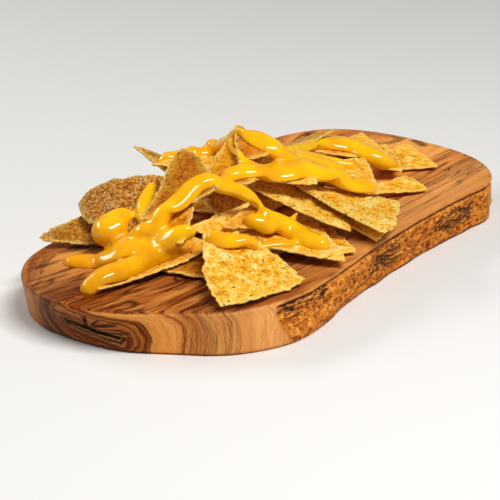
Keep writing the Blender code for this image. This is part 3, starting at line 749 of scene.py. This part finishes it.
# How each run lies: places on the chips under it with its half width, then its thickness, in mm.
SAUCE_RUNS = {
    "tongue": (4.2, (
        (-100.5, 35.5, 21, 4.4), (-98.6, 33.4, 21, 5.8), (-96, 30, 21, 6.4), (-93.4, 26.4, 21.4, 6.4),
        (-91, 22, 22.6, 6))),
    "left_sheet": (4.4, (
        (-93, 23.4, 22.4, 7), (-91, 18.4, 25.4, 9), (-87, 13.8, 28.6, 10), (-82, 10.8, 29, 10),
        (-76.4, 8.4, 29.6, 9), (-72, 6, 30, 6))),
    "branch": (5.4, (
        (-85, 8.4, 28.6, 8), (-81.4, 4, 29.6, 9), (-79.6, 0, 31.4, 8.6), (-79.6, -4, 33.4, 7.4),
        (-79.2, -8, 35.6, 5.4), (-77.6, -11.4, 38, 2.6))),
    "streak": (6, (
        (-121.6, 9, 21.6, 4.8), (-118, 7.4, 23.4, 6.2), (-113, 5.2, 25.6, 6.4), (-106, 3.2, 26.8, 5.8),
        (-98, 1.4, 27.2, 5.2), (-91, -0.6, 27.6, 4.4), (-84, -3.4, 28.2, 3), (-79, -6.2, 28.6, 1.4))),
    "left_stream": (4.4, (
        (-38, -20, 44.2, 1.8), (-41, -18, 46.4, 2.6), (-45, -14, 49.4, 3.4), (-50, -10, 51.8, 4.2),
        (-54, -6, 53.6, 4.8), (-57.5, -3, 53.2, 5.2), (-60.4, -1.4, 51.8, 5.4), (-64, -0.4, 49.4, 5.6),
        (-68.4, 0.8, 46.2, 5.8), (-71.6, 3, 43.4, 5.6), (-75, 5.6, 40.4, 5.8), (-78.6, 7.8, 37, 6),
        (-80.5, 11, 33.8, 6), (-81.5, 13.4, 30.6, 6.4))),
    "string": (2.4, (
        (-38, -19, 44.8, 2), (-37, -22, 42, 1.4), (-37, -24, 39, 1.2), (-37, -27, 36.5, 1.8))),
    "link": (4.4, (
        (-50, -11, 51.6, 3.2), (-43, -7, 52, 3.4), (-35, -5, 52.6, 4.4))),
    "main": (4.8, (
        (-38, -5, 52, 3.4), (-33, -8, 52.4, 5.2), (-28.4, -10.7, 52.4, 7), (-21.2, -13.4, 51, 8),
        (-16, -16.3, 50, 8.5), (-11.1, -19.3, 49.4, 8.9), (-4.2, -21.3, 48.6, 9.2),
        (2.8, -24.4, 46.2, 9.4), (8.8, -27.5, 43.2, 9), (13.8, -31.2, 40.4, 8.2),
        (18, -35.4, 38.4, 7.2), (21, -39, 36.8, 5.8), (23, -42, 35.8, 3.8))),
    "crest": (3.6, (
        (-8, -13, 53, 3.4), (-2, -13, 53, 4.4), (6, -16, 50.6, 5), (14, -20, 47, 5), (22, -25, 43, 4.2))),
    "peak": (2.4, (
        (-12.4, 3.6, 64.4, 2.4), (-11.6, 0.4, 63.6, 4.4), (-11.2, -2.8, 62.4, 5.4),
        (-11, -6.6, 60.6, 5.6), (-9, -10.4, 58, 5.4), (-4.4, -12, 55, 5.4), (1, -11, 52.6, 6),
        (8, -10, 51, 5.4))),
    "leg": (2.6, (
        (-11.6, 12, 60.2, 1.6), (-13.6, 10, 59.4, 2.4), (-17, 6.8, 58, 2.1), (-20.4, 3, 57.2, 1.8),
        (-24.6, -2.2, 57.6, 1.8), (-26.4, -5.4, 56.8, 2), (-24.6, -9, 54.4, 3.2))),
    "ridge": (3.6, (
        (-19, 47, 44.5, 2.4), (-16, 44, 44.7, 4), (-13, 41.6, 45.1, 3), (-9, 38, 45.8, 4.8),
        (-5, 35.6, 46, 4), (0, 32.6, 46.8, 5), (1, 29, 48.6, 4), (-1, 23, 52, 4.8), (-5, 17.6, 55.6, 4),
        (-9.6, 12.8, 59.6, 2.8), (-12.6, 8.8, 62.8, 1.6), (-13, 5.4, 64.6, 1.8))),
    "rim_drip": (4.4, (
        (-53, 26.4, 46.4, 1.4), (-56, 25.4, 45.2, 2.8), (-60, 24, 43.6, 3.6), (-65, 22.4, 41.4, 3.8),
        (-69.4, 20, 39.4, 3.4), (-73, 16.6, 38.4, 2.6), (-76, 14, 38, 1.4))),
    "drop_tail": (3.2, (
        (-82, 33, 34, 5), (-78, 34, 35.4, 4.6), (-75, 33, 36.6, 4.2), (-73, 31, 37.4, 3.8),
        (-72, 28, 38, 3.2), (-73.4, 25.6, 37, 2.4), (-76, 25, 35.6, 1.4))),
    "front": (4.6, (
        (-75, -22.5, 37.6, 3), (-73, -25.6, 37.6, 4.8), (-70.4, -29.6, 36.9, 5.4),
        (-67.8, -33.8, 35.7, 5), (-65.8, -37.6, 34.2, 3.2))),
    "smear": (2.6, (
        (-52.4, -30.4, 27.4, 1.8), (-48, -34, 27, 3), (-43, -38, 27, 3.4), (-39, -41.4, 27, 2))),
    "lobe": (4.8, (
        (-44.4, -22, 34.4, 3.4), (-42, -25, 33.8, 4.8), (-40, -28, 32.4, 4.6))),
    "right_blob": (5.2, (
        (-38, -25, 34.8, 4.2), (-34, -28, 33.6, 5.6), (-30, -31.6, 31.2, 6.4), (-29, -36.4, 28.8, 6.8),
        (-31, -42, 27.6, 6.4), (-32, -47.6, 27.2, 5.8), (-32, -52, 27, 4.4))),
    "spike": (2.2, (
        (-28, -31, 31, 2.4), (-24.6, -31.6, 33.4, 1.3), (-22, -32, 35.4, 0.8))),
    "back": (4.8, (
        (36, 8.4, 40, 2.6), (41, 10, 39.2, 5), (48, 11, 37.6, 5.8), (57, 12, 36.4, 6.4),
        (65, 10, 35.8, 7), (70, 6, 35.4, 7.6), (74, 1, 34.6, 7.8), (74, -5, 33.6, 7.4),
        (72, -11, 33, 6.2), (73, -17, 31.4, 4.4), (76, -20, 29.5, 3), (80, -22, 28.2, 1.6))),
    "back_low": (3.6, (
        (20, -5, 46, 3.6), (27, -9, 43.2, 4), (33, -13, 40.8, 3.8), (37, -18, 39, 3.2),
        (40, -23, 37.6, 1.8))),
}

# Rounder lumps in the runs: a centre, then half its width each way, in mm.
SAUCE_LUMPS = (
    ((-83.6, 29, 32.4), (7, 7.8, 7)),
    ((-81, 27, 34), (6, 6.6, 6)),
    ((-39, -28, 33.4), (4, 4, 3.6)),
    ((-4, -15, 53.8), (4.4, 4.4, 2.6)),
    ((20, -37.4, 38.8), (5.6, 5.6, 3.6)),
    ((-17, 45, 46.5), (2.8, 3.2, 2.6)),
    ((-7.6, 37, 48), (3.4, 3.4, 2.8)),
    ((0.6, 31, 50), (3.6, 4, 3.2)),
    ((-3, 21, 55), (3, 3.4, 2.6)),
)


def along_curve(points, share):
    """A place on a smooth curve through the points, from 0 at its start to 1 at its end."""
    last = len(points) - 1
    spot = share * last
    first = min(int(spot), last - 1)
    before, start, end, after = [points[min(max(first + step, 0), last)] for step in (-1, 0, 1, 2)]
    t = spot - first
    return 0.5 * (2 * start + (end - before) * t + (2 * before - 5 * start + 4 * end - after) * t ** 2
                  + (3 * start - before - 3 * end + after) * t ** 3)


def evened(values, passes):
    """The same values along a run, each drawn towards its neighbours."""
    values = np.array(values, float)
    for _ in range(passes):
        values[1:-1] = (values[:-2] + 2 * values[1:-1] + values[2:]) / 4
    return values


def sauce_beads(points, thick, bed):
    """Close beads along a run: each a centre, its lean, its half width, and its reach up and down."""
    points = np.array(points) / 1000
    steps = BEADS_A_STEP * (len(points) - 1)
    route = np.array([along_curve(points, step / steps) for step in range(steps + 1)])
    upright = Vector((0, 0, 1))
    lifts, leans, gaps = [], [], []
    for x, y, z, _ in route:
        centre = Vector((x, y, z))
        below = bed.ray_cast(centre + upright * LOOK_FROM, -upright, LOOK_THROUGH)[0]
        lifts.append(below.z - z if below else 0)
        _, face, _, gap = bed.find_nearest(centre)
        leans.append(upright if gap > HANGS_AT else upright.lerp(face if face.z > 0 else -face, LEAN))
        gaps.append(gap)
    route[:, 2] += evened(lifts, RUN_EVENING)
    leans = evened(leans, RUN_EVENING)
    gaps = evened(gaps, GAP_EVENING)
    for (x, y, z, half), lean, gap in zip(route, leans, gaps):
        crown = min(thick / 1000, TALLEST * half)
        foot = SAUCE_SINK + max(HANGING_FOOT * crown - SAUCE_SINK, 0) * ease(0.002, 0.005, gap)
        yield Vector((x, y, z)), Vector(lean).normalized(), half, crown, foot


def sauce_mesh():
    """All the beads and lumps joined in one skin and smoothed, as the runs flow together while warm."""
    bed = bmesh.new()
    for node in ["board", *chip_nodes]:
        bed.from_mesh(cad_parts[node].data)
    tree = BVHTree.FromBMesh(bed)
    bed.free()
    ball = bmesh.new()
    bmesh.ops.create_icosphere(ball, subdivisions=3, radius=1)
    dots = np.array([vertex.co for vertex in ball.verts])
    facets = np.array([[vertex.index for vertex in face.verts] for face in ball.faces])
    ball.free()

    beads = [bead for thick, points in SAUCE_RUNS.values() for bead in sauce_beads(points, thick, tree)]
    points, faces = [], []
    for centre, lean, half, crown, foot in beads:
        turn = np.array(lean.to_track_quat("Z", "Y").to_matrix())
        reach = np.where(dots[:, 2:] > 0, crown, foot) + SAUCE_SWELL
        shape = dots * np.hstack([np.full((len(dots), 2), half + SAUCE_SWELL), reach])
        faces.append(facets + len(points) * len(dots))
        points.append(shape @ turn.T + np.array(centre))
    for centre, halves in SAUCE_LUMPS:
        faces.append(facets + len(points) * len(dots))
        points.append(dots * (np.array(halves) / 1000 + SAUCE_SWELL) + np.array(centre) / 1000)
    mesh = bpy.data.meshes.new("sauce")
    mesh.from_pydata(np.vstack(points).tolist(), [], np.vstack(faces).tolist())
    return modified(mesh,
                    ("REMESH", {"mode": "VOXEL", "voxel_size": SAUCE_VOXEL}),
                    ("SMOOTH", {"factor": 0.5, "iterations": SAUCE_SMOOTHING}),
                    ("DISPLACE", {"mid_level": 0, "strength": -SAUCE_SWELL}),
                    ("SMOOTH", {"factor": 0.5, "iterations": SAUCE_EVENING}))


def cheese():
    """Opaque yellow cheese with a wet gloss, darker where it lies low on the left: partly painted shade,
    partly its duller thin colour.
    """
    material, shader, place = new_material("cheese_sauce", Roughness=0.12, Specular_IOR_Level=0.5,
                                           Subsurface_Weight=0.12, Subsurface_Radius=(0.004, 0.002, 0.0005))
    drift = place.noise(0.012, 2.0)
    x, _, z = place.parts()
    # Darker where the sauce lies low on the left: partly painted shade, as it lies in shade there, and
    # partly the thin sauce's duller colour.
    low = (1 - z.eased(0.026, 0.042)) * (1 - x.eased(-0.080, -0.060) * 0.85)
    base = (drift - low * 0.30).colours(
        (0.0, colour(218, 144, 0)), (0.3, colour(236, 164, 0)), (0.7, colour(250, 194, 0)))
    soft = place.noise(0.006, 1.0)
    bump = place.node("Bump", {}, {"Strength": 0.15, "Distance": 0.001, "Height": soft})
    connect(shader, Base_Color=base, Normal=bump)
    return material


sauce_nodes = sorted(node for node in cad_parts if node.startswith("sauce_"))
add_piece("cheese_sauce", sauce_mesh(), cheese(), "cheese_sauce", *sauce_nodes)


# ---------------------------------------------------------------- floor, light and camera
# The dish stands on a plain pale floor in soft light, and is seen from low over its left end.

bpy.ops.mesh.primitive_plane_add(size=6)
floor = bpy.context.object
floor.name = "floor"
floor_paint, _, _ = new_material("pale_floor", Roughness=0.8, Base_Color=colour(226, 224, 220))
floor.data.materials.append(floor_paint)

room = bpy.data.worlds.new("room")
room.use_nodes = True
room_light = room.node_tree.nodes["Background"].inputs
room_light["Color"].default_value = (1, 1, 1, 1)
room_light["Strength"].default_value = 0.18
bpy.context.scene.world = room

# Where the lamps and the camera look, and how large and how long they are, in metres and mm.
LIGHT_WIDTH = 0.70
LIGHT_HEIGHT = 0.20
LIGHT_AIM = (0, 0, 0.03)
CAMERA_PLACE = (-0.882, -0.608, 0.4152)
CAMERA_AIM = (-0.0408, -0.0193, 0.021)
CAMERA_LENS = 174.24
CAMERA_SENSOR = 36


def aimed(name, data, place, aim):
    """A lamp or camera at a place, turned to face another."""
    holder = bpy.data.objects.new(name, data)
    bpy.context.scene.collection.objects.link(holder)
    holder.location = place
    holder.rotation_mode = "QUATERNION"
    holder.rotation_quaternion = (Vector(aim) - Vector(place)).to_track_quat("-Z", "Y")
    return holder


for name, power, place in (("key", 12.5, (-0.20, -0.56, 0.95)), ("rim", 4.5, (-0.25, 0.85, 0.60))):
    lamp = bpy.data.lights.new(name, "AREA")
    lamp.shape = "RECTANGLE"
    lamp.size = LIGHT_WIDTH
    lamp.size_y = LIGHT_HEIGHT
    lamp.energy = power
    aimed(name, lamp, place, LIGHT_AIM)

camera_data = bpy.data.cameras.new("camera")
camera_data.lens = CAMERA_LENS
camera_data.sensor_width = CAMERA_SENSOR
bpy.context.scene.camera = aimed("camera", camera_data, CAMERA_PLACE, CAMERA_AIM)
bpy.context.scene.view_settings.view_transform = "Standard"
